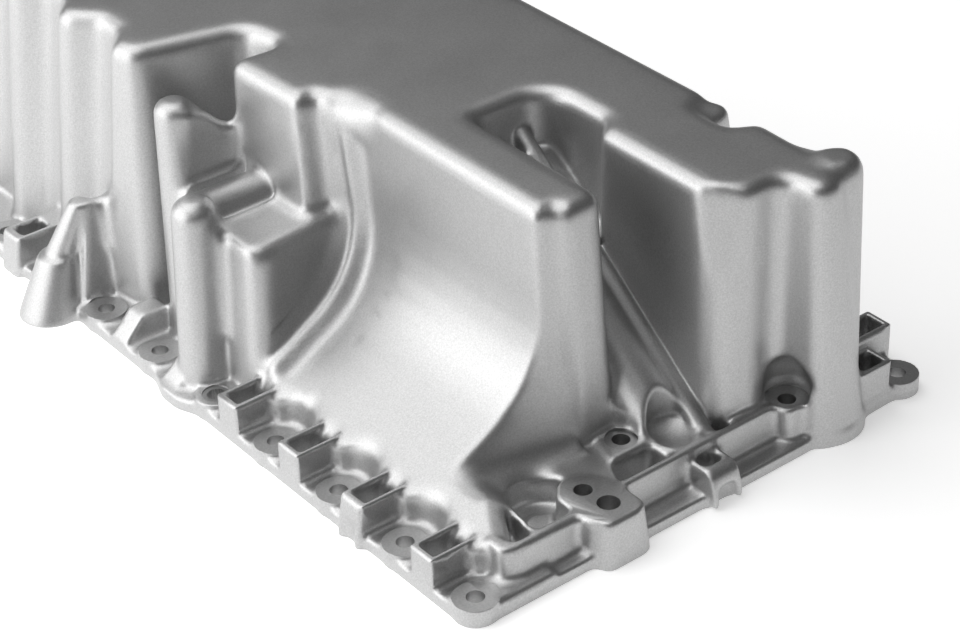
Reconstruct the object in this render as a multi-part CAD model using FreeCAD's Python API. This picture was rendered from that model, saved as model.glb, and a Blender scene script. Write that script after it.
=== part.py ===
import FreeCAD, Part
import math
import os

# Cast aluminium engine oil pan, standing upside down on its gasket flange.
# Millimetres, +Z up. While it is built, the near left corner bolt is at x = 0, y = 0,
# x runs across the pan and y along it. At the end the origin moves to the middle of the
# four corner bolts, on the gasket face.

V = FreeCAD.Vector

# Driving dimensions: the bolt flange
bolt_pitch = 40.0
bolt_spaces = 10
bolt_span = 206.0
bolt_hole_r = 3.4
bolt_boss_r = 8.5
bolt_boss_height = 7.0
flange_thickness = 5.0
flange_edge = 8.0
foot_ring_r = 18.5

# Driving dimensions: the sump
pan_height = 115.0
wall = 4.0
crown_round = 5.0
scoop_x = 66.0
scoop_r = 48.0
scoop_slope = 26.0
scoop_front = 44.0
scoop_end = 158.0
scoop_end_lean = 16.0
scoop_centre_z = 73.0
scoop_foot = 15.0
step_height = 67.0
gallery_r = 11.0

# Driving dimensions: the front rim and its bosses
rim_height = 19.0
rim_wall = 3.0
box_height = 17.5
box_wall = 2.0
scallop_r = 14.0
roll_r = 7.0
front_hole_r = 3.5
dowel_hole_r = 4.3

# Driving dimensions: the drain
drain_r = 7.0
drain_boss_r = 15.0
plug_head_flats = 19.0
plug_head_height = 9.0
plug_length = 12.0
washer_r = 11.0
washer_thickness = 1.5

pan_length = bolt_pitch * bolt_spaces
far = pan_length


def rx(inside):
    """The x of what stands that far inside the right bolt row."""
    return bolt_span - inside


def rounded(points, z):
    """Closed wire at height z through (x, y, corner radius) points."""
    count = len(points)
    starts = []
    for i in range(count):
        before = V(points[i - 1][0], points[i - 1][1], z)
        corner = V(points[i][0], points[i][1], z)
        after = V(points[(i + 1) % count][0], points[(i + 1) % count][1], z)
        back = before - corner
        on = after - corner
        room = 0.48 * min(back.Length, on.Length)
        half = back.getAngle(on) / 2
        reach = min(points[i][2] / math.tan(half), room)
        radius = reach * math.tan(half)
        back.normalize()
        on.normalize()
        bisector = back + on
        bisector.normalize()
        middle = corner + bisector * (radius / math.sin(half) - radius)
        starts.append((corner + back * reach, middle, corner + on * reach))
    edges = []
    for i in range(count):
        first, middle, last = starts[i]
        edges.append(Part.Arc(first, middle, last).toShape())
        edges.append(Part.LineSegment(last, starts[(i + 1) % count][0]).toShape())
    return Part.Wire(edges)


def area(points):
    total = 0.0
    for i in range(len(points)):
        x1, y1 = points[i - 1][0], points[i - 1][1]
        x2, y2 = points[i][0], points[i][1]
        total += (x1 * y2 - x2 * y1) / 2
    return total


def inset(points, distance):
    """The same outline with every side moved inwards by distance."""
    turn = 1.0 if area(points) > 0 else -1.0
    count = len(points)
    moved = []
    for i in range(count):
        a = points[i - 1]
        b = points[i]
        c = points[(i + 1) % count]
        d1 = V(b[0] - a[0], b[1] - a[1], 0).normalize()
        d2 = V(c[0] - b[0], c[1] - b[1], 0).normalize()
        n1 = V(-d1.y, d1.x, 0) * turn
        n2 = V(-d2.y, d2.x, 0) * turn
        bend = d1.cross(d2).z * turn
        n = n1 + n2
        shift = n * (distance / (1 + n1.dot(n2)))
        radius = b[2] - distance if bend > 0 else b[2] + distance
        moved.append((b[0] + shift.x, b[1] + shift.y, max(radius, 0.8)))
    return moved


def between(low, high, share):
    return [tuple(p + (q - p) * share for p, q in zip(a, b)) for a, b in zip(low, high)]


def block(low, high, z_low, z_high, top_round=0.0, depth=0.0):
    """Drafted block between two outlines. depth insets it, to make the hollow inside it."""
    rounding_steps = 4
    top = z_high - depth
    levels = [(z_low - (1.0 if depth else 0.0), 0.0)]
    if top_round:
        for i in range(rounding_steps + 1):
            angle = math.pi / 2 * i / rounding_steps
            levels.append((top - top_round * (1 - math.sin(angle)), top_round * (1 - math.cos(angle))))
    else:
        levels.append((top, 0.0))
    sections = []
    for z, pull in levels:
        outline = between(low, high, (z - z_low) / (z_high - z_low))
        sections.append(rounded(inset(outline, depth + pull), z))
    return Part.makeLoft(sections, True, True)


def prism(points, z_low, z_high):
    face = Part.Face(rounded(points, z_low))
    return face.extrude(V(0, 0, z_high - z_low))


def slab(x1, y1, z1, x2, y2, z2):
    return Part.makeBox(x2 - x1, y2 - y1, z2 - z1, V(x1, y1, z1))


def post(x, y, z_low, z_high, r_low, r_high=None):
    height = z_high - z_low
    if r_high is None or r_high == r_low:
        return Part.makeCylinder(r_low, height, V(x, y, z_low))
    return Part.makeCone(r_low, r_high, height, V(x, y, z_low))


def lean(x_low, y_low, r_low, x_top, y_top, r_top, z_low, z_top):
    """Round column that leans between two centres."""
    low = Part.Wire(Part.Circle(V(x_low, y_low, z_low), V(0, 0, 1), r_low).toShape())
    top = Part.Wire(Part.Circle(V(x_top, y_top, z_top), V(0, 0, 1), r_top).toShape())
    return Part.makeLoft([low, top], True, True)


def along_x(yz, x1, x2):
    """Prism between x1 and x2 through (y, z) points."""
    corners = [V(x1, y, z) for y, z in yz]
    face = Part.Face(Part.makePolygon(corners + [corners[0]]))
    return face.extrude(V(x2 - x1, 0, 0))


def along_y(xz, y1, y2):
    """Prism between y1 and y2 through (x, z) points."""
    corners = [V(x, y1, z) for x, z in xz]
    face = Part.Face(Part.makePolygon(corners + [corners[0]]))
    return face.extrude(V(0, y2 - y1, 0))


def side_flutes(x_out, x_in, y_first, y_last):
    """Wrench flutes between y_first and y_last, one in each bolt bay."""
    half = 6.0
    slant = 11.0
    points = []
    y = y_first
    while y < y_last:
        points.append((x_out, y - half - slant, 5.0))
        points.append((x_in, y - half, 4.0))
        points.append((x_in, y + half, 4.0))
        points.append((x_out, y + half + slant, 5.0))
        y += bolt_pitch
    return points


# The main body: both front blocks, the slot between them, the notch in the left side and the
# fluted left wall, clockwise from the front end of the concave sweep.
first_flute = 6.7 * bolt_pitch
last_flute = far - 0.6 * bolt_pitch
main_top = [
    (scoop_x, scoop_front, 3), (scoop_x, scoop_end, 4), (scoop_x - 6, scoop_end, 4), (scoop_x - 6, 167, 4),
    (51, 167, 3), (49, 210, 4), (74, 208, 5), (70, 228, 10), (25, 240, 8),
] + side_flutes(22, 32, first_flute, last_flute) + [
    (24, far - 18, 14), (rx(38), far - 18, 14),
    (rx(38), 69, 4), (rx(49), 63, 6), (rx(49), 46, 6), (rx(38), 40, 4),
    (rx(39), 10, 4), (rx(45), -11, 7), (rx(57), -11, 7), (rx(60), 6, 6), (rx(73), 6, 5), (119.5, 12, 14),
    (119.5, 73, 3), (128, 80, 8), (128, 113, 14), (92, 113, 4), (92, 38, 6), (74, 38, 3),
    (74, scoop_front, 2),
]
main_low = [
    (scoop_x, 38, 3), (scoop_x, scoop_end - 16, 4), (scoop_x - 6, scoop_end - 16, 4), (scoop_x - 8, 150, 4),
    (42, 147, 3), (43, 201, 4), (54, 202, 5), (52, 216, 8), (13, 229, 10),
] + side_flutes(8.5, 16, first_flute, last_flute) + [
    (9, far - 12, 14), (rx(16), far - 12, 14),
    (rx(16), 69, 4), (rx(20), 63, 6), (rx(20), 46, 6), (rx(16), 40, 4),
    (rx(20), 10, 8), (rx(25), -12, 12), (rx(52), -12, 10), (rx(56), 10, 6), (rx(70), 7, 8), (117, 9, 12),
    (118, 70, 3), (126, 78, 8), (124, 108, 12), (93, 108, 4), (93, 30, 6), (73, 30, 3), (73, 36, 2),
]
core = []
cuts = []
adds = []

# The body's own shell. Its hollow keeps a full wall behind the facet on the right block's left
# corner and behind the recess over the right front boss.
recess_x = rx(54)
recess_y = 4.5
recess_r = 9.5
recess_top = rim_height + 8


def facet(grow):
    """Wedge outside the flat that trims the corner between its top and its pointed foot."""
    out = V(-0.78, -0.62, 0).normalize()
    side = V(-out.y, out.x, 0)
    base = V(121.9, 12.3, 0) - side * 16
    corners = []
    for u, z in ((-4.2, pan_height + 1), (9, pan_height + 1), (9, 70), (1.9, 70)):
        corners.append(base + out * (u - grow) + V(0, 0, z))
    return Part.Face(Part.makePolygon(corners + [corners[0]])).extrude(side * 32)


def recess(grow):
    shaft = post(recess_x, recess_y, rim_height - grow, recess_top, recess_r + grow)
    return shaft.fuse(Part.makeSphere(recess_r + grow, V(recess_x, recess_y, recess_top)))


core.append(block(main_low, main_top, 0, pan_height, crown_round))
cuts.append(block(main_low, main_top, 0, pan_height, 0, wall).cut([facet(wall), recess(wall)]))


def scoop(grow, back, y_front, y_back, front_lean, square):
    """The concave sweep as a stack of level sections. grow moves its face inwards, and
    square is how much further forward the sections' inner side stands at the foot."""
    arc_steps = 6
    centre_x = scoop_x - scoop_r
    radius = scoop_r + grow
    turn = math.radians(90 - scoop_slope)
    foot_z = scoop_foot - max(grow, 0)
    places = [(scoop_x + grow, pan_height - crown_round - max(grow, 0))]
    for i in range(arc_steps + 1):
        angle = turn * i / arc_steps
        places.append((centre_x + radius * math.cos(angle), scoop_centre_z - radius * math.sin(angle)))
    x_last, z_last = places[-1]
    x_foot = x_last - (z_last - foot_z) / math.tan(math.radians(scoop_slope))
    if grow > 0:
        x_foot = scallop_r + 2.5 * wall
        foot_z = z_last - (x_last - x_foot) * math.tan(math.radians(scoop_slope))
    places.append((x_foot, foot_z))
    places.append((x_foot, -1.0 if grow > 0 else 0.0))
    wires = []
    for x, z in places:
        share = (pan_height - z) / pan_height
        y_end = y_back - scoop_end_lean * share
        y_face = y_front - front_lean * share
        corners = [V(x, y_face, z), V(x, y_end, z), V(back, y_end, z), V(back, y_face - square * share, z)]
        wires.append(Part.makePolygon(corners + [corners[0]]))
    return Part.makeLoft(wires, True, True)


core.append(scoop(0, scoop_x + 14, scoop_front, scoop_end, 0, 15))
core.append(scoop(-4, scoop_x + 14, scoop_end - 9, scoop_end, scoop_end_lean, 0))
cuts.append(scoop(wall, scoop_x + 16, scoop_front + wall, scoop_end - wall, 0, 15))

# The step behind the sweep, with its round column, and the half-round pipe across its top
step_top = [(17, 150, 7), (17, 200, 3), (60, 200, 3), (60, 155, 3)]
step_low = [(9, 141, 9), (9, 200, 3), (60, 200, 3), (60, 146, 3)]
core.append(block(step_low, step_top, 0, step_height, 2.0))
cuts.append(block(step_low, step_top, 0, step_height, 0, wall))
column_top = step_height + 13
core.append(lean(4.5, 175, 10, 11.5, 182, 9, 0, column_top - 4))
core.append(lean(11.5, 182, 9, 11.5, 182, 5, column_top - 4, column_top))
pipe = Part.makeCylinder(9, 36, V(14, 190, step_height - 1), V(1, 0, 0))
core.append(pipe)

# The tall column in the notch, with the web that ties it to the body
tall_top = pan_height - 11
core.append(lean(20, 205, 9.5, 26, 214, 8, 0, tall_top - 3))
core.append(lean(26, 214, 8, 26, 214, 5, tall_top - 3, tall_top))
core.append(along_y([(22, 0), (26, tall_top - 2), (36, tall_top - 6), (50, tall_top - 21), (50, 0)],
                    204, 213))

# The gallery: the sloping half-round floor of the slot, with the thin rib beside it
gallery_slope = 0.80
gallery_foot = 11.0
slot_left = 90.0
slot_right = 131.0


def gallery_z(y):
    return gallery_foot + gallery_slope * (y - 8)


core.append(along_x([(8, 0), (8, gallery_z(8)), (116, gallery_z(116)), (116, 0)], slot_left, 120))
core.append(along_x([(60, 0), (60, gallery_z(60)), (116, gallery_z(116)), (116, 0)], 119, slot_right))
drop = wall / math.cos(math.atan(gallery_slope))
cuts.append(along_x([(36, -1), (36, gallery_z(36) - drop), (122, gallery_z(122) - drop), (122, -1)],
                    slot_left - 6, slot_right - 4))
run = V(0, 1, gallery_slope)
floor_pipe = Part.makeCylinder(gallery_r, 130, V(104, 8, gallery_z(8) - 4), run)
core.append(floor_pipe.cut(slab(slot_left, -20, -40, slot_right, 60, 0)))
core.append(Part.makeCylinder(gallery_r, 40, V(119, 82, gallery_z(82) - 11), run))
core.append(along_x([(8, 0), (8, gallery_z(8) + 6), (112, gallery_z(112) + 6), (112, 0)], 112, 115))
core.append(along_x([(34, 0), (34, rim_height), (45, rim_height + 14), (45, 0)], 95.5, 98))

# Columns on the hidden long side
core.append(lean(rx(32), 6, 12, rx(36.5), 2, 9.5, 0, pan_height - 4))
core.append(lean(rx(36.5), 2, 9.5, rx(36.5), 2, 7, pan_height - 4, pan_height + 0.8))
core.append(lean(rx(26), 62, 8, rx(42), 62, 6.5, 0, pan_height - 3))
core.append(lean(rx(26), 16, 7, rx(40), 15, 4.5, 0, pan_height - 2))

# The flange plate, the foot ring under the right front corner, and the bolt bosses
left = -flange_edge
right = bolt_span + flange_edge
plate = [
    (left, -flange_edge, 8), (left, 161, 6), (left - 4, 171, 6), (left - 4, 181, 6), (left, 192, 6),
    (left, far + flange_edge, 10),
    (right, far + flange_edge, 10), (right, -flange_edge + 3, 8), (rx(20), -flange_edge + 2, 2),
    (rx(56), -flange_edge, 2),
]
adds.append(prism(plate, 0, flange_thickness))
adds.append(post(rx(38), 5, 0, 5.5, foot_ring_r))
adds.append(prism([(left, -flange_edge, 8), (left, 8, 6), (8, 9, 5), (14, -2, 3), (30, -2.4, 1),
                   (30, -flange_edge, 1)], 0, bolt_boss_height))
adds.append(prism([(rx(12), -flange_edge + 3, 1), (rx(12), 10, 2), (right, 10, 8),
                   (right, -flange_edge + 3, 8)],
                  0, bolt_boss_height))
bolt_places = []
for i in range(bolt_spaces + 1):
    bolt_places.append((0.0, i * bolt_pitch))
    bolt_places.append((bolt_span, i * bolt_pitch))
bolt_places.append((bolt_span / 3, far))
bolt_places.append((bolt_span * 2 / 3, far))
for x, y in bolt_places:
    adds.append(post(x, y, 0, bolt_boss_height, bolt_boss_r))

# The front ledge, behind the rim
ledge_top = rim_height - 1.5
core.append(prism([(22, -1, 1), (22, 46, 1), (97, 46, 3), (97, 28, 3), (118, 12, 3), (118, 3, 1),
                   (64, 3, 1), (47, -1, 1)], 0, ledge_top))
mound = along_y([(8.4, 0), (8.4, scoop_foot), (24.5, 22.8), (30, 20.5), (35, ledge_top), (35, 0)], 6, 46)
core.append(mound.common(along_x([(6, 0), (6, 17), (26, 23), (46, 23.2), (46, 0)], 8, 36)))
rim_top = [(13.5, 11, 1), (12.5, 1.5, 4), (19, -0.3, 3), (47, 1, 3), (62, 2.5, 3), (rx(54), 2.5, 1),
           (rx(54), 5.5, 1), (62, 5.5, 3), (47, 4, 3), (20, 3, 3), (16.5, 11, 1)]
rim_low = [(12, 11, 1), (11, -1, 5), (19, -4, 3), (47, -3.5, 3), (62, 0, 3), (rx(54), 0.5, 1), (rx(54), 6, 1),
           (62, 6, 3), (47, 4.5, 3), (21, 4, 3), (17, 11, 1)]
rim = block(rim_low, rim_top, 0, rim_height)
rib = prism([(28.3, 3, 0.5), (30.4, 3, 0.5), (32.2, 27, 0.5), (30.8, 27, 0.5)], 0, rim_height)
ledge_pockets = [
    post(44, 18.5, 3, rim_height + 20, 13),
    prism([(32.3, 26, 2), (30.6, 4, 1), (57, 4, 1), (57, 19, 2)], 3, rim_height + 20),
    prism([(20, 3.5, 2), (28.2, 3.5, 1), (30, 23, 1)], 9, rim_height + 20),
    prism([(70.5, 4.2, 1.5), (76, 16.5, 1.5), (93, 17.7, 1), (94.5, 4.2, 1.5)], 4, rim_height + 20),
    post(87, 24, rim_height, rim_height + 22, 6.5),
]
dish_x = 104.0
dish_y = 14.3
dish_r = 8.5
front_pads = [
    block([(45.5, -6, 5), (46, 13, 5), (53, 20, 5), (60, 20, 4), (65, 15, 3), (70.5, 6, 4), (70.5, -12, 5),
           (65, -14, 5), (49, -14, 4)],
          [(46.5, -4, 5), (47, 13, 5), (53, 19.5, 5), (60, 19.5, 4), (64.5, 15, 3), (69.5, 6, 4),
           (69.5, -10, 5), (64, -12, 5), (51, -12, 4)], 0, rim_height),
    prism([(76, 16, 1), (80, 31, 4), (86.5, 35, 3), (91, 33, 3), (91, 28, 2), (97, 23, 2), (97, 16, 2)],
          0, rim_height),
    post(dish_x, dish_y, 0, rim_height, dish_r + 1.5),
    prism([(rx(63), 2.5, 1), (rx(61.5), -4, 4), (rx(51), -4, 3), (rx(40), -6, 2), (rx(48), 8, 2),
           (rx(53), 12, 4), (rx(61), 12, 4)],
          0, rim_height),
    post(44, 15.5, 0, 7, 7.5),
]
dish_depth = 2.6
dish_sphere = (dish_r ** 2 + dish_depth ** 2) / (2 * dish_depth)
dish = Part.makeSphere(dish_sphere, V(dish_x, dish_y, rim_height + dish_sphere - dish_depth))
dish = dish.common(post(dish_x, dish_y, 0, rim_height, dish_r))
dish_room = post(dish_x, dish_y, rim_height, rim_height + 30, dish_r + 1.5)

# The clip bracket on the front of the rim
clip_x = 100.0
clip_width = 14.0
clip_wall = 2.5
clip_top = rim_height - 3.5
clip_side = [(3, 4), (3, clip_top), (-7.5, clip_top), (-10.5, clip_top - 2), (-13, 6), (-13, 0.5),
             (-9.5, 0.5), (-9, 4)]
clip = along_x(clip_side, clip_x, clip_x + clip_width)
clip = clip.cut(slab(clip_x + clip_wall, -14, 0, clip_x + clip_width - clip_wall, -8.5, clip_top - 7))
clip_slot = slab(clip_x + clip_wall, -4.5, flange_thickness,
                 clip_x + clip_width - clip_wall, 1.8, rim_height - 1)

# Boxes between the left bolts. The foot of the sweep rolls over into the first four and into the
# scallops around the bolts, which are centred on them.
box_start = 14.4
box_width = 12.6
roll_steps = 5
roll_slope = math.radians(40)


def roll(start, z_start):
    """Points of the rounded edge that turns from an upright wall to the sweep's slope."""
    points = []
    for i in range(roll_steps + 1):
        angle = (math.pi / 2 - roll_slope) * i / roll_steps
        points.append((start + roll_r * (1 - math.cos(angle)), z_start + roll_r * math.sin(angle)))
    x, z = points[-1]
    points.append((x + 7, z + 7 * math.tan(roll_slope)))
    return points


boxes = []
box_pockets = []
for i in (0, 1, 2, 3, 7):
    y = i * bolt_pitch + box_start
    reach = left - 3 if i in (1, 7) else left + 0.4
    inner = 24 if i == 7 else 15
    outline = [(reach, 0), (reach, 2), (max(reach, left - 0.5), box_height), (inner, box_height), (inner, 0)]
    boxes.append(along_y(outline, y, y + box_width))
    if i == 7:
        box_pockets.append(slab(left + 2 + box_wall, y + box_wall, flange_thickness, 8.0,
                                y + box_width - box_wall, box_height + 1))
    else:
        outline = [(left + 1 + box_wall, box_height + 12), (left + 1 + box_wall, flange_thickness),
                   (9.5, flange_thickness)]
        outline += roll(9.5, 10.4)
        outline.append((outline[-1][0], box_height + 12))
        box_pockets.append(along_y(outline, y + box_wall, y + box_width - box_wall))
box_window = slab(left - 4, bolt_pitch + box_start + 2.5, -1,
                  left - 0.8, bolt_pitch + box_start + box_width - 2.5, box_height - 7)
scallop_outline = [(0, flange_thickness), (scallop_r, flange_thickness)] + roll(scallop_r + 0.5, 13)
scallop_outline += [(scallop_outline[-1][0], 60), (0, 60)]
scallop_face = Part.Face(Part.makePolygon([V(x, 0, z) for x, z in scallop_outline + scallop_outline[:1]]))
scallop = scallop_face.revolve(V(0, 0, 0), V(0, 0, 1), 360)
scallops = []
for i in range(4):
    scallops.append(scallop.translated(V(0, i * bolt_pitch, 0)))
    scallops.append(slab(left - 5, i * bolt_pitch - scallop_r, flange_thickness,
                         0, i * bolt_pitch + scallop_r, 60))

# Wedge gussets at the foot of the wall
gussets = []
for y, z in ((213, 16), (175, 14)):
    gussets.append(along_y([(left, 3), (left, flange_thickness + 1), (left + 0.6 * z, z), (14, z), (14, 3)],
                           y, y + 11))

# The dipstick tube's boss, leaning in towards the wall
spout_foot = V(-12.5, 263.5, 0)
spout_ring = V(-5, 265, 24)
spout_tip = V(6, 262, 46)
spout = lean(spout_foot.x, spout_foot.y, 13.5, spout_ring.x, spout_ring.y, 8.5, 0, spout_ring.z)
spout = spout.fuse(lean(spout_ring.x, spout_ring.y, 7, spout_tip.x, spout_tip.y, 4.5,
                        spout_ring.z - 2, spout_tip.z))
web_low = [(-6, 248, 1), (-6, 262, 1), (18, 262, 1), (18, 248, 1)]
web_top = [(6, 257, 0.5), (6, 262, 0.5), (18, 262, 0.5), (18, 257, 0.5)]
spout_web = block(web_low, web_top, 0, spout_tip.z)

# The box and the clip on the right flange, beside the corner bolt
right_box = slab(rx(28), -5, 0, rx(9), 8, rim_height)
right_box = right_box.fuse(slab(rx(16), box_start, 0, right + 3, box_start + box_width, box_height))
right_pocket = slab(rx(22), -5 + box_wall, flange_thickness, rx(9) - box_wall, 8 - box_wall, rim_height + 1)
right_pocket = right_pocket.fuse(slab(rx(12), box_start + box_wall, flange_thickness, right + 3 - box_wall,
                                      box_start + box_width - box_wall, box_height + 1))

# The drain: a boss on the hidden long side, its screw plug and the washer under the head
drain_y = far - 90
drain_z = 32.0
drain_face = bolt_span - 15
thread_clearance = 0.1
drain_boss = Part.makeCylinder(drain_boss_r, 16, V(drain_face - 16, drain_y, drain_z), V(1, 0, 0))
drain_bore = Part.makeCylinder(drain_r + thread_clearance, 40, V(drain_face - 30, drain_y, drain_z),
                               V(1, 0, 0))

holes = []
for x, y in bolt_places:
    holes.append(post(x, y, -1, bolt_boss_height + 1, bolt_hole_r))
front_holes = [(57, 10, front_hole_r), (59, -1.5, dowel_hole_r), (87, 24, front_hole_r),
               (rx(56), 3, front_hole_r)]
for x, y, r in front_holes:
    holes.append(post(x, y, -1, rim_height + 1, r))

# Fine splines in the bore of one flange hole
spline_count = 24
spline_depth = 0.35
for i in range(spline_count):
    angle = 2 * math.pi * i / spline_count
    x = bolt_hole_r * math.cos(angle)
    y = 4 * bolt_pitch + bolt_hole_r * math.sin(angle)
    holes.append(post(x, y, -1, bolt_boss_height + 1, spline_depth))

whole = core[0].multiFuse(core[1:])
whole = whole.cut(scallops + ledge_pockets + [facet(0), recess(0), dish_room])
whole = whole.multiFuse(adds + front_pads + [clip, rim, rib] + boxes + gussets
                        + [spout, spout_web, drain_boss, right_box])
whole = whole.cut(cuts)
whole = whole.cut(box_pockets + holes + [dish, clip_slot, box_window, drain_bore, right_pocket])
whole = whole.removeSplitter()
print("pan", whole.isValid(), round(whole.Volume), len(whole.Solids), len(whole.Faces))

plug_axis = V(1, 0, 0)
head_start = drain_face + washer_thickness
shank = Part.makeCylinder(drain_r, plug_length + washer_thickness,
                          V(drain_face - plug_length, drain_y, drain_z), plug_axis)
corners = []
for i in range(7):
    angle = math.pi / 3 * i
    across = plug_head_flats / math.sqrt(3)
    corners.append(V(head_start, drain_y + across * math.cos(angle), drain_z + across * math.sin(angle)))
head = Part.Face(Part.makePolygon(corners)).extrude(V(plug_head_height, 0, 0))
crown = Part.makeCone(across + plug_head_height - 1, across - 1, plug_head_height,
                      V(head_start, drain_y, drain_z), plug_axis)
head = head.common(crown)
collar = Part.makeCylinder(washer_r, 2.0, V(head_start, drain_y, drain_z), plug_axis)
plug = shank.fuse([head, collar]).removeSplitter()
washer = Part.makeCylinder(washer_r, washer_thickness, V(drain_face, drain_y, drain_z), plug_axis)
washer = washer.cut(Part.makeCylinder(drain_r + thread_clearance, washer_thickness,
                                      V(drain_face, drain_y, drain_z), plug_axis))

to_middle = V(-bolt_span / 2, -pan_length / 2, 0)
os.makedirs("parts", exist_ok=True)
for name, shape in (("oil_pan", whole), ("drain_plug", plug), ("drain_washer", washer)):
    shape.translate(to_middle)
    shape.exportStep("parts/" + name + ".step")
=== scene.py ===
import math

import bmesh
import bpy
import numpy as np
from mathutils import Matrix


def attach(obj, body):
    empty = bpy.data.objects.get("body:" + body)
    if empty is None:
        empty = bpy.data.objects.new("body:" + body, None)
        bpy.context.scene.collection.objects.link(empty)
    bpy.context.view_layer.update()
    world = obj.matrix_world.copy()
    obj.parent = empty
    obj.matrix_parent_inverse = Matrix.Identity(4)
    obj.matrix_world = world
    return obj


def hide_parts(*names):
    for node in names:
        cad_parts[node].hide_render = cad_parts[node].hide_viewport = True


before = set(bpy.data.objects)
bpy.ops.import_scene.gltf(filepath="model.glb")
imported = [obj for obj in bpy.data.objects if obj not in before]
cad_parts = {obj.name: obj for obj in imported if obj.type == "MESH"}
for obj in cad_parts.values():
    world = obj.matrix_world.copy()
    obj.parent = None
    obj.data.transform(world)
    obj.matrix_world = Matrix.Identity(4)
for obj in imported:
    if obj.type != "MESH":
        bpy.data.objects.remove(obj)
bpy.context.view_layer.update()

import openvdb as vdb
from mathutils import Matrix, Vector

MM = 0.001
VOXEL = 0.7
COARSE = 1.5
LOW = np.floor(np.array([-142, -232, -6]) / (3 * VOXEL)).astype(int) * 3
HIGH = np.ceil(np.array([128, 220, 124]) / (3 * VOXEL)).astype(int) * 3
PITCH = 40.0
WIDTH = 206.0
LENGTH = 400.0
BOSS_TOP = 7.0
BOSS_R = 8.5
BOLT_R = 3.4
RIM_TOP = 19.0
BORE_R = 7.1
BORE = Vector((88.0, 110.0, 32.0))
GALLERY_FOOT = 11.0
GALLERY_SLOPE = 0.8
SWEEP_END = 158.0
SWEEP_LEAN = 16.0
SWEEP_HEIGHT = 115.0
SWEEP_X = 18.0
SWEEP_Z = 73.0
SWEEP_R = 48.0
SWEEP_SLOPE = math.radians(26)
RIDGE_HEIGHT = 5.0
RIDGE_WIDTH = 4.5
BOX_TOP = 17.5
BOX_WALL = 2.0
BOX_START = 14.4
BOX_END = 27.0
TRIANGLES = 175000


def from_corner(x, y):
    """A place counted from the near left corner bolt, in the row's frame."""
    return x - WIDTH / 2, y - LENGTH / 2


side_bolts = [from_corner(x, i * PITCH) for i in range(11) for x in (0.0, WIDTH)]
end_bolts = [from_corner(WIDTH * i / 3, LENGTH) for i in (1, 2)]
splined = from_corner(0.0, 4 * PITCH)
front_holes = [from_corner(x, y) + (r,)
               for x, y, r in ((57, 10, 3.5), (59, -1.5, 4.3), (87, 24, 3.5), (150, 3, 3.5))]


def split_casting(mesh):
    """The casting's outside and its hollow as two closed solids in millimetres, largest first."""
    bm = bmesh.new()
    bm.from_mesh(mesh)
    bmesh.ops.scale(bm, vec=(1 / MM,) * 3, verts=bm.verts)
    bmesh.ops.remove_doubles(bm, verts=bm.verts, dist=1e-3)

    def dropped(face):
        if all(abs(v.co.z) < 1e-2 for v in face.verts):
            return True
        return all(BORE.x - 30 < v.co.x < BORE.x + 1
                   and abs((v.co.yz - BORE.yz).length - BORE_R) < 0.05 for v in face.verts)

    bmesh.ops.delete(bm, geom=[f for f in bm.faces if dropped(f)], context="FACES")
    rims = [e for e in bm.edges if e.is_boundary and all(abs(v.co.z) < 1e-2 for v in e.verts)]
    for item in bmesh.ops.extrude_edge_only(bm, edges=rims)["geom"]:
        if isinstance(item, bmesh.types.BMVert):
            item.co.z -= 3
    bmesh.ops.holes_fill(bm, edges=[e for e in bm.edges if e.is_boundary], sides=0)
    bmesh.ops.triangulate(bm, faces=bm.faces)
    bm.verts.index_update()
    part_of = {}
    sizes = []
    for start in bm.verts:
        if start in part_of:
            continue
        part_of[start] = len(sizes)
        members = [start]
        for vert in members:
            for edge in vert.link_edges:
                other = edge.other_vert(vert)
                if other not in part_of:
                    part_of[other] = len(sizes)
                    members.append(other)
        sizes.append(len(members))
    points = np.array([v.co[:] for v in bm.verts], np.float32)
    part = np.array([part_of[v] for v in bm.verts])
    faces = np.array([[v.index for v in f.verts] for f in bm.faces], np.int32)
    bm.free()
    solids = []
    for i in sorted(range(len(sizes)), key=lambda k: -sizes[k]):
        used, renumbered = np.unique(faces[part[faces[:, 0]] == i], return_inverse=True)
        solids.append((points[used], renumbered.reshape(-1, 3)))
    return solids


def level_set(points, faces, reach, coarse=1.0):
    """The distance to a closed surface, out to reach voxels on both sides."""
    kind = "quads" if faces.shape[1] == 4 else "triangles"
    corners = {kind: faces.astype(np.uint32)}
    transform = vdb.createLinearTransform(voxelSize=VOXEL * coarse)
    return vdb.FloatGrid.createLevelSetFromPolygons(
        points.astype(np.float32), transform=transform, halfWidth=reach, **corners)


def dense(grid, coarse=1.0):
    """A grid's values in the box of voxels that holds the whole casting."""
    low, high = (LOW / coarse).astype(int), (HIGH / coarse).astype(int)
    field = np.zeros(tuple(high - low), np.float32)
    grid.copyToArray(field, ijk=tuple(int(v) for v in low))
    return field


def sparse(field):
    """A grid that holds a field over the same box."""
    grid = vdb.FloatGrid(background=float(field.max()))
    grid.copyFromArray(field.astype(np.float32), ijk=tuple(int(v) for v in LOW))
    grid.transform = vdb.createLinearTransform(voxelSize=VOXEL)
    return grid


def on_axis(values, axis):
    """A row of values laid along one axis of a field."""
    return values.reshape([-1 if i == axis else 1 for i in range(3)])


def refined(field):
    """A coarse field read at the fine voxels, axis by axis."""
    for axis in range(3):
        places = np.arange(HIGH[axis] - LOW[axis]) / COARSE
        first = np.minimum(places.astype(int), field.shape[axis] - 2)
        share = on_axis((places - first).astype(np.float32), axis)
        field = np.take(field, first, axis) * (1 - share) + np.take(field, first + 1, axis) * share
    return field


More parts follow.
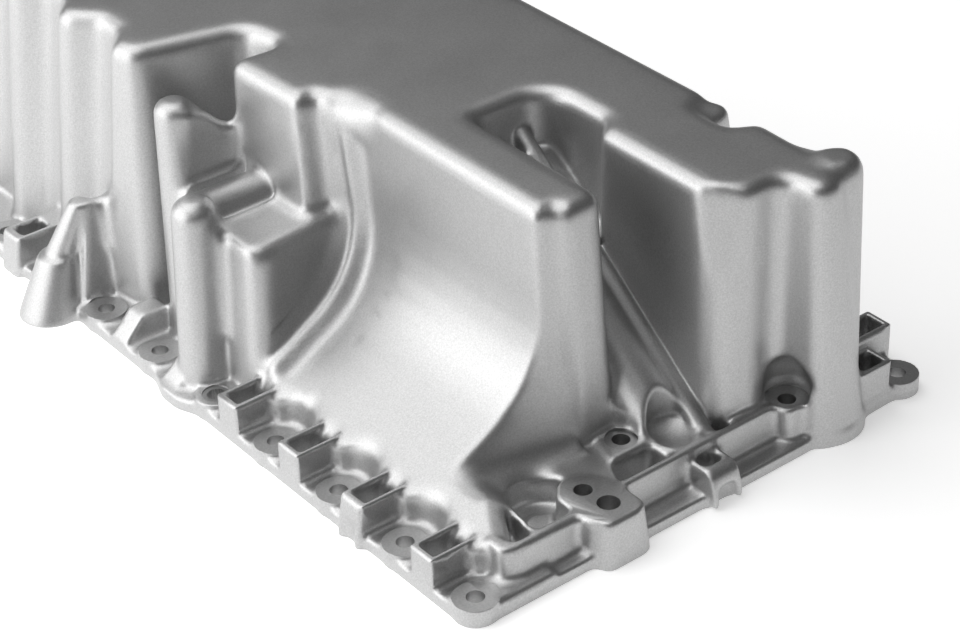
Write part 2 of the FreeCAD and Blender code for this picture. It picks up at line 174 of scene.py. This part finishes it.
def softened(solid, fill, trim, coarse=1.0):
    """Distance field of a solid, concave corners filled to one radius and edges trimmed to another."""
    reach = max(fill, trim) / (VOXEL * coarse) + 3
    grid = level_set(*solid, reach, coarse)
    for step in (fill, -fill, -trim, trim):
        grid = level_set(*grid.convertToQuads(step), reach, coarse)
    return dense(grid, coarse)


def blurred(field, times):
    """A field averaged with its neighbours along each axis, a number of times."""
    for _ in range(times):
        for axis in range(3):
            front = np.roll(field, 1, axis)
            back = np.roll(field, -1, axis)
            field = field * 0.5 + (front + back) * 0.25
    return field


def window(field, low, high):
    """The part of a field between two corners in millimetres, and its voxels' places on each axis."""
    first = np.maximum(np.floor(low / VOXEL).astype(int) - LOW, 0)
    last = np.minimum(np.ceil(high / VOXEL).astype(int) - LOW, field.shape)
    places = [on_axis((np.arange(first[i], last[i]) + LOW[i]) * VOXEL, i) for i in range(3)]
    return field[first[0]:last[0], first[1]:last[1], first[2]:last[2]], places


def add_post(field, x, y, top, radius):
    """Joins an upright cylinder to a distance field, from under the gasket face up to top."""
    reach = radius + 4
    view, (along_x, along_y, along_z) = window(
        field, np.array([x - reach, y - reach, -6]), np.array([x + reach, y + reach, top + 4]))
    distance = np.maximum(np.hypot(along_x - x, along_y - y) - radius, along_z - top)
    np.minimum(view, distance, out=view)


def add_block(field, low, high):
    """Joins an upright block between two corners, counted from the near left corner bolt."""
    low, high = [np.array(from_corner(*corner[:2]) + (corner[2],)) for corner in (low, high)]
    view, places = window(field, low - 3, high + 3)
    distance = -np.inf
    for place, start, end in zip(places, low, high):
        distance = np.maximum(distance, np.abs(place - (start + end) / 2) - (end - start) / 2)
    np.minimum(view, distance, out=view)


def add_bar(field, start, end, radius, fillet):
    """Joins a round bar between two places, counted from the near left corner bolt, with a fillet."""
    start, end = [np.array(from_corner(*place[:2]) + (place[2],)) for place in (start, end)]
    margin = radius + fillet + 3
    view, places = window(field, np.minimum(start, end) - margin, np.maximum(start, end) + margin)
    offset = [place - first for place, first in zip(places, start)]
    run = end - start
    part = np.clip(sum(offset[i] * run[i] for i in range(3)) / (run @ run), 0, 1)
    bar = np.sqrt(sum((offset[i] - part * run[i]) ** 2 for i in range(3))) - radius
    share = np.clip(0.5 + 0.5 * (bar - view) / fillet, 0, 1)
    view[:] = bar * (1 - share) + view * share - fillet * share * (1 - share)


def smooth_step(value, start, end):
    """0 up to start, 1 from end on and a soft rise between them."""
    share = np.clip((value - start) / (end - start), 0, 1)
    return share * share * (3 - 2 * share)


def within(value, start, end, fade=3.0):
    """1 between start and end, fading to 0 over that many millimetres outside them."""
    return smooth_step(value, start - fade, start) * (1 - smooth_step(value, end, end + fade))


def sampled(field, places):
    """The field's value at places given in voxels."""
    base = np.floor(places).astype(int)
    base = np.clip(base, 0, np.array(field.shape) - 2)
    share = places - base
    total = 0.0
    for corner in np.ndindex(2, 2, 2):
        weight = np.prod(np.where(corner, share, 1 - share), axis=1)
        total = total + weight * field[tuple((base + corner).T)]
    return total


def field_normals(field, points):
    """The directions in which the field grows at points in millimetres."""
    places = np.asarray(points) / VOXEL - LOW
    steps = np.eye(3)
    normals = np.stack([sampled(field, places + s) - sampled(field, places - s) for s in steps], axis=1)
    return normals / np.maximum(np.linalg.norm(normals, axis=1), 1e-9)[:, None]


solids = split_casting(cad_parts["oil_pan"].data)
outside = dense(level_set(*solids[0], 4))
for x, y in side_bolts + end_bolts:
    add_post(outside, x, y, BOSS_TOP, BOLT_R + 1)
for x, y, r in front_holes:
    add_post(outside, x, y, RIM_TOP, r + 0.5)
plugged = sparse(outside).convertToQuads(0.0)

# Four fields of the same casting: crisp edges for the flange, soft ones for the walls, very soft
# ones for the ridge beside the step, and the hollow.
crisp = blurred(softened(plugged, 1.0, 0.7), 1)
soft = refined(blurred(softened(plugged, 4.0, 2.6, COARSE), 2))
broad = refined(blurred(softened(plugged, 7.0, 4.5, COARSE), 12))
hollow = refined(blurred(softened(solids[1], 3.0, 3.0, COARSE), 1))

# Places of the voxels, counted from the near left corner bolt.
across = on_axis(np.arange(LOW[0], HIGH[0]) * VOXEL + WIDTH / 2, 0)
along = on_axis(np.arange(LOW[1], HIGH[1]) * VOXEL + LENGTH / 2, 1)
height = on_axis(np.arange(LOW[2], HIGH[2]) * VOXEL, 2)

# The walls are soft above the ledge and at the sweep's foot. The gallery, the half-round pipe and
# the spout stay crisp.
sweep_foot = within(across, 16.5, 69, 4) * within(along, 28, 136, 5) * smooth_step(height, 13, 16)
above_gallery = height - (GALLERY_FOOT + GALLERY_SLOPE * (along - 8))
gallery = within(across, 89, 131) * within(along, 5, 112) * (1 - smooth_step(above_gallery, 10, 16))
pipe = within(across, 15, 50) * within(along, 180, 199, 2) * within(height, 62, 78)
spout = (1 - smooth_step(across, 7, 11)) * within(along, 248, 282) * (1 - smooth_step(height, 48, 52))
share = np.maximum(smooth_step(height, 21, 29), sweep_foot)
share = (share * (1 - gallery) * (1 - pipe) * (1 - spout)).astype(np.float32)
casting_field = crisp + (soft - crisp) * share

# The sweep's raised end and the foot of the middle block turn broadly.
past_end = along - (SWEEP_END - SWEEP_LEAN * (1 - height / SWEEP_HEIGHT))
ridge = within(across, 16, 72, 8) * within(past_end, -16, 0, 8) * smooth_step(height, 12, 22)
front_foot = within(across, 24, 72) * within(along, 30, 40, 6) * within(height, 18, 36, 5)
share = np.maximum(ridge, front_foot).astype(np.float32)
casting_field += (broad - casting_field) * share

# The sweep's own curve, upright, then round, then a slope, with the ridge's rounded front on it.
foot_x = SWEEP_X + SWEEP_R * math.sin(SWEEP_SLOPE)
foot_z = SWEEP_Z - SWEEP_R * math.cos(SWEEP_SLOPE)
turn = np.arctan2(SWEEP_Z - height, across - SWEEP_X)
upright = SWEEP_X + SWEEP_R - across
round_part = SWEEP_R - np.hypot(across - SWEEP_X, height - SWEEP_Z)
slope = (height - foot_z) * math.cos(SWEEP_SLOPE) - (across - foot_x) * math.sin(SWEEP_SLOPE)
sweep = np.where(turn > math.pi / 2 - SWEEP_SLOPE, slope, round_part)
sweep = np.where(turn < 0, upright, sweep)
ridged = sweep - RIDGE_HEIGHT * np.exp(-((np.minimum(past_end + 3, 0) / RIDGE_WIDTH) ** 2))
share = within(across, 18, 70, 8) * within(past_end, -22, -4, 5)
share = (share * smooth_step(height, 12, 22) * (1 - smooth_step(height, 96, 106))).astype(np.float32)
near = (np.abs(sweep) < 12) & (share > 0)
casting_field = np.where(near, casting_field + (ridged - casting_field) * share, casting_field)
casting_field = casting_field.astype(np.float32)

# The gallery's rib, the bolt bosses, and the thin walls of the boxes and of the rim's right end.
add_bar(casting_field, (115.0, 10, 16.6), (115.0, 112, 98.2), 3.2, 2.0)
for x, y in side_bolts + end_bolts:
    add_post(casting_field, x, y, BOSS_TOP + 0.4, BOSS_R)
for i, left, right, wall_x in ((0, -7.6, 15, -7.6), (1, -7.6, 15, -7.6), (2, -7.6, 15, -7.6),
                               (3, -7.6, 15, -7.6), (7, -7.6, 20, -7.6), (0, 190, 217, 214.4)):
    near, away = i * PITCH + BOX_START, i * PITCH + BOX_END
    add_block(casting_field, (left, near, 0), (right, near + BOX_WALL, BOX_TOP))
    add_block(casting_field, (left, away - BOX_WALL, 0), (right, away, BOX_TOP))
    add_block(casting_field, (wall_x, near, 0), (wall_x + BOX_WALL + 0.6, away, BOX_TOP))
for low, high in (((178, -5), (197, -3)), ((178, 6), (197, 8)), ((195, -5), (197, 8))):
    add_block(casting_field, low + (0,), high + (RIM_TOP,))
casting_field = np.maximum(casting_field, -hollow)

points, triangles, quads = sparse(casting_field).convertToPolygons(0.0, adaptivity=0.01)
mesh = bpy.data.meshes.new("oil_pan_casting")
mesh.from_pydata(points.tolist(), [], triangles.tolist() + quads.tolist())
casting = bpy.data.objects.new("oil_pan_casting", mesh)
bpy.context.scene.collection.objects.link(casting)


def apply_modifiers(piece):
    evaluated = piece.evaluated_get(bpy.context.evaluated_depsgraph_get())
    done = bpy.data.meshes.new_from_object(evaluated)
    piece.modifiers.clear()
    piece.data = done


thin = casting.modifiers.new("thin", "DECIMATE")
corners = len(triangles) + 2 * len(quads)
thin.ratio = min(1.0, TRIANGLES / corners)
apply_modifiers(casting)


def cylinder(bm, x, y, low, high, radius, sides=48):
    where = Matrix.Translation((x, y, (low + high) / 2))
    bmesh.ops.create_cone(bm, cap_ends=True, segments=sides, radius1=radius, radius2=radius,
                          depth=high - low, matrix=where)


# The machining: drilled holes, the splined hole, faced bosses and pads, and the gasket face.
cutter_mesh = bmesh.new()
for x, y in side_bolts + end_bolts:
    if (x, y) == splined:
        continue
    cylinder(cutter_mesh, x, y, -5, BOSS_TOP + 5, BOLT_R)
for x, y, r in front_holes:
    cylinder(cutter_mesh, x, y, -5, RIM_TOP + 0.8, r)
where = Matrix.Translation(BORE) @ Matrix.Rotation(math.pi / 2, 4, "Y")
bmesh.ops.create_cone(cutter_mesh, cap_ends=True, segments=64, radius1=BORE_R, radius2=BORE_R,
                      depth=60, matrix=where)
star = []
for i in range(96):
    angle = 2 * math.pi * i / 96
    radius = BOLT_R + (0.35 if i % 4 in (1, 2) else 0.0)
    x, y = splined[0] + radius * math.cos(angle), splined[1] + radius * math.sin(angle)
    star.append(cutter_mesh.verts.new((x, y, -5)))
base = cutter_mesh.faces.new(star)
lifted = bmesh.ops.extrude_face_region(cutter_mesh, geom=[base])["geom"]
for item in lifted:
    if isinstance(item, bmesh.types.BMVert):
        item.co.z = BOSS_TOP + 5
bmesh.ops.recalc_face_normals(cutter_mesh, faces=cutter_mesh.faces)
drills = bpy.data.meshes.new("drills")
cutter_mesh.to_mesh(drills)
cutter_mesh.free()
face_mesh = bmesh.new()
crowded = {splined: 5.6, from_corner(0.0, 7 * PITCH): 6.5}
for x, y in side_bolts + end_bolts:
    cylinder(face_mesh, x, y, BOSS_TOP, BOSS_TOP + 1.2, crowded.get((x, y), BOSS_R + 0.3), 64)
for x, y, radius in ((87, 24, 6.2), (150.5, 3.5, 8.2)):
    cylinder(face_mesh, *from_corner(x, y), RIM_TOP - 0.15, RIM_TOP + 0.9, radius, 64)
where = Matrix.Translation(from_corner(57.5, 2.5) + (RIM_TOP + 0.4,)) @ Matrix.Diagonal((26, 36, 1.1, 1))
bmesh.ops.create_cube(face_mesh, size=1, matrix=where)
faced = bpy.data.meshes.new("faced")
face_mesh.to_mesh(faced)
face_mesh.free()
under_mesh = bmesh.new()
where = Matrix.Translation((0, 0, -10)) @ Matrix.Diagonal((500, 600, 20, 1))
bmesh.ops.create_cube(under_mesh, size=1, matrix=where)
under = bpy.data.meshes.new("under")
under_mesh.to_mesh(under)
under_mesh.free()
slots = [bpy.data.materials.new("cast_aluminium"), bpy.data.materials.new("cut_aluminium")]
for material in slots:
    casting.data.materials.append(material)
for cutter_data in (drills, faced, under):
    for material in slots:
        cutter_data.materials.append(material)
    for polygon in cutter_data.polygons:
        polygon.material_index = 1
    cutter = bpy.data.objects.new(cutter_data.name, cutter_data)
    bpy.context.scene.collection.objects.link(cutter)
    cut = casting.modifiers.new("cut", "BOOLEAN")
    cut.operation = "DIFFERENCE"
    cut.solver = "MANIFOLD"
    cut.object = cutter
    apply_modifiers(casting)
    bpy.data.objects.remove(cutter)

# The cast faces are shaded by the field's own directions, the cut ones by their own corners.
mesh = casting.data
mesh.shade_smooth()
mesh.set_sharp_from_angle(angle=math.radians(35))
count = len(mesh.loops)
normals = np.zeros(count * 3, np.float32)
mesh.corner_normals.foreach_get("vector", normals)
normals = normals.reshape(-1, 3)
loop_vertex = np.zeros(count, np.int32)
mesh.loops.foreach_get("vertex_index", loop_vertex)
places = np.zeros(len(mesh.vertices) * 3, np.float32)
mesh.vertices.foreach_get("co", places)
smooth = field_normals(casting_field, places.reshape(-1, 3))
totals = np.zeros(len(mesh.polygons), np.int32)
indices = np.zeros(len(mesh.polygons), np.int32)
mesh.polygons.foreach_get("loop_total", totals)
mesh.polygons.foreach_get("material_index", indices)
cast = np.repeat(indices, totals) == 0
normals[cast] = smooth[loop_vertex[cast]]
mesh.transform(Matrix.Diagonal((MM, MM, MM, 1)))
mesh.normals_split_custom_set(normals.tolist())
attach(casting, "root")
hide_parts("oil_pan")

class Finish:
    """A material whose nodes are made one by one, each from its type, its settings and its inputs."""

    def __init__(self, material):
        material.use_nodes = True
        self.tree = material.node_tree
        self.shader = self.tree.nodes["Principled BSDF"]

    def node(self, kind, settings, values, output=0):
        made = self.tree.nodes.new(kind)
        for name, setting in settings.items():
            setattr(made, name, setting)
        for name, value in values.items():
            self.feed(made.inputs[name], value)
        return Value(self, made.outputs[output])

    def feed(self, socket, value):
        if isinstance(value, Value):
            self.tree.links.new(value.socket, socket)
        else:
            socket.default_value = value

    def mixed(self, share, first, second):
        grey = [(tone, tone, tone, 1) for tone in (first, second)]
        return self.node("ShaderNodeMix", {"data_type": "RGBA"}, {0: share, 6: grey[0], 7: grey[1]}, 2)


class Value:
    """A socket that can be added, subtracted and multiplied."""

    def __init__(self, finish, socket):
        self.finish = finish
        self.socket = socket

    def worked(self, operation, first, second):
        return self.finish.node("ShaderNodeMath", {"operation": operation}, {0: first, 1: second})

    def __add__(self, other):
        return self.worked("ADD", self, other)

    def __radd__(self, other):
        return self.worked("ADD", other, self)

    def __sub__(self, other):
        return self.worked("SUBTRACT", self, other)

    def __rsub__(self, other):
        return self.worked("SUBTRACT", other, self)

    def __mul__(self, other):
        return self.worked("MULTIPLY", self, other)

    def __rmul__(self, other):
        return self.worked("MULTIPLY", other, self)


def blasted(material, dark, pale, grain_size, rough, depth):
    """A bare metal with a fine sandy grain and faint clouds over it."""
    finish = Finish(material)
    place = finish.node("ShaderNodeTexCoord", {}, {}, "Object")
    grain = finish.node("ShaderNodeTexNoise", {}, {"Vector": place, "Scale": 1 / grain_size, "Detail": 3.0})
    cloud = finish.node("ShaderNodeTexNoise", {}, {"Vector": place, "Scale": 45.0, "Detail": 3.0})
    shade = grain * 0.9 + cloud * 0.1
    finish.feed(finish.shader.inputs["Base Color"], finish.mixed((shade - 0.5) * 3.0 + 0.5, dark, pale))
    finish.feed(finish.shader.inputs["Roughness"], (cloud - 0.5) * 0.06 + rough)
    bump = finish.node("ShaderNodeBump", {}, {"Strength": 0.6, "Distance": depth, "Height": grain})
    finish.feed(finish.shader.inputs["Normal"], bump)
    finish.shader.inputs["Metallic"].default_value = 1.0
    return finish


blasted(slots[0], 0.47, 0.59, 0.0006, 0.45, 0.00008)
blasted(slots[1], 0.42, 0.50, 0.0009, 0.42, 0.00002)

# The drain plug: a turned steel hexagon screw with a collar, zinc plated. It seals the boss low on
# the long side that faces away.
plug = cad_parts["drain_plug"]
plated = bpy.data.materials.new("plated_steel")
blasted(plated, 0.40, 0.46, 0.0004, 0.32, 0.00001)
plug.data.materials.clear()
plug.data.materials.append(plated)

# The drain washer: a flat ring of soft aluminium sheet, squeezed between the plug's collar and the
# boss.
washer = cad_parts["drain_washer"]
soft_sheet = bpy.data.materials.new("soft_aluminium")
blasted(soft_sheet, 0.62, 0.70, 0.0005, 0.4, 0.00001)
washer.data.materials.clear()
washer.data.materials.append(soft_sheet)

# The floor: white paper on which the pan lies, brighter to the eye and in the metal than the lamps
# alone make it, but still with the pan's shadow.
bm = bmesh.new()
bmesh.ops.create_grid(bm, x_segments=1, y_segments=1, size=3)
floor_mesh = bpy.data.meshes.new("floor")
bm.to_mesh(floor_mesh)
bm.free()
floor = bpy.data.objects.new("floor", floor_mesh)
bpy.context.scene.collection.objects.link(floor)
paper_material = bpy.data.materials.new("white_paper")
floor_mesh.materials.append(paper_material)
paper = Finish(paper_material)
rays = [paper.node("ShaderNodeLightPath", {}, {}, name)
        for name in ("Is Camera Ray", "Is Glossy Ray", "Is Transmission Ray")]
seen = rays[0].worked("MAXIMUM", rays[0].worked("MAXIMUM", rays[0], rays[1]), rays[2])
paper.feed(paper.shader.inputs["Emission Color"], paper.mixed(seen, 0.0, 0.45))
paper.shader.inputs["Emission Strength"].default_value = 1.0
paper.shader.inputs["Base Color"].default_value = (0.95, 0.95, 0.95, 1)
paper.shader.inputs["Roughness"].default_value = 1.0
paper.shader.inputs["Specular IOR Level"].default_value = 0.0

# The light: a large soft box above and behind the pan, another along its left side, and a faint
# even glow from the room.
world = bpy.data.worlds.new("room")
bpy.context.scene.world = world
world.use_nodes = True
world.node_tree.nodes["Background"].inputs["Color"].default_value = (1, 1, 1, 1)
world.node_tree.nodes["Background"].inputs["Strength"].default_value = 0.1


def soft_box(name, place, target, size, power):
    data = bpy.data.lights.new(name, "AREA")
    data.shape = "RECTANGLE"
    data.size, data.size_y = size
    data.energy = power
    light = bpy.data.objects.new(name, data)
    light.location = place
    light.rotation_euler = (Vector(target) - Vector(place)).to_track_quat("-Z", "Y").to_euler()
    bpy.context.scene.collection.objects.link(light)


soft_box("above", (-0.35, 0.3, 1.15), (0, 0, 0), (1.6, 1.4), 12.5)
soft_box("left", (-1.2, 0.6, 0.5), (-0.3, 0.3, 0.05), (2.2, 1.0), 16)

# The camera: from the near left corner, looking down along the pan, as in the photograph.
camera_data = bpy.data.cameras.new("camera")
camera = bpy.data.objects.new("camera", camera_data)
bpy.context.scene.collection.objects.link(camera)
camera.location = (-0.5186, -0.7540, 0.5771)
camera.rotation_euler = (0.9875, 0.0315, -0.6718)
camera_data.sensor_width = 36
camera_data.lens = 97.61
camera_data.clip_start = 0.01
bpy.context.scene.camera = camera
bpy.context.scene.view_settings.view_transform = "Standard"
